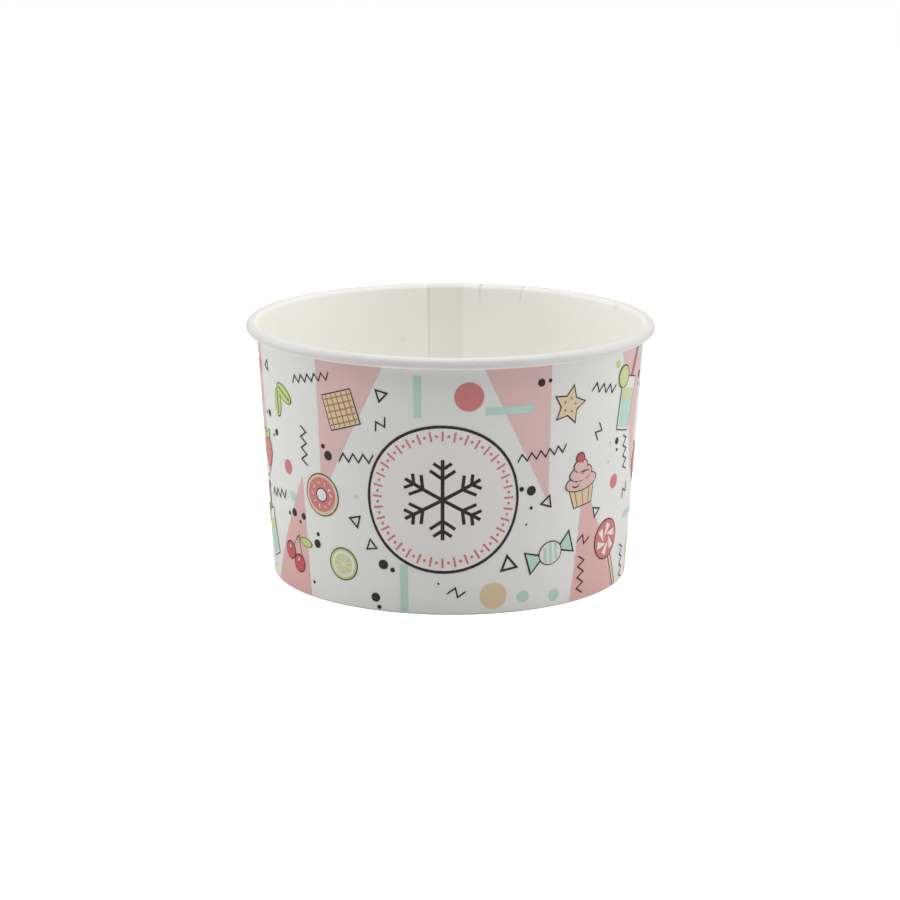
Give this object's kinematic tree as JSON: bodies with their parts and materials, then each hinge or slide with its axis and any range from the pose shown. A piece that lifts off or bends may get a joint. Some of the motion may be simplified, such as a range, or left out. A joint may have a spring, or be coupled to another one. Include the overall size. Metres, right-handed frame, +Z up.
{
  "type": "paper dessert cup",
  "caption": "Round tapered paperboard tub with a rolled rim, a lapped side seam and a raised bottom held in a folded foot.",
  "frame": {"origin": "centre of the foot ring, on the surface that the cup stands on", "axes": "+Z up along the cup's axis, +Y towards the side seam at the back"},
  "size_m": [0.095, 0.095, 0.0596],
  "materials": {
    "wall_board": "satin",
    "bottom_board": "satin"
  },
  "bodies": {
    "root": {"side_wall": "wall_board", "bottom_disc": "bottom_board"}
  },
  "joints": []
}
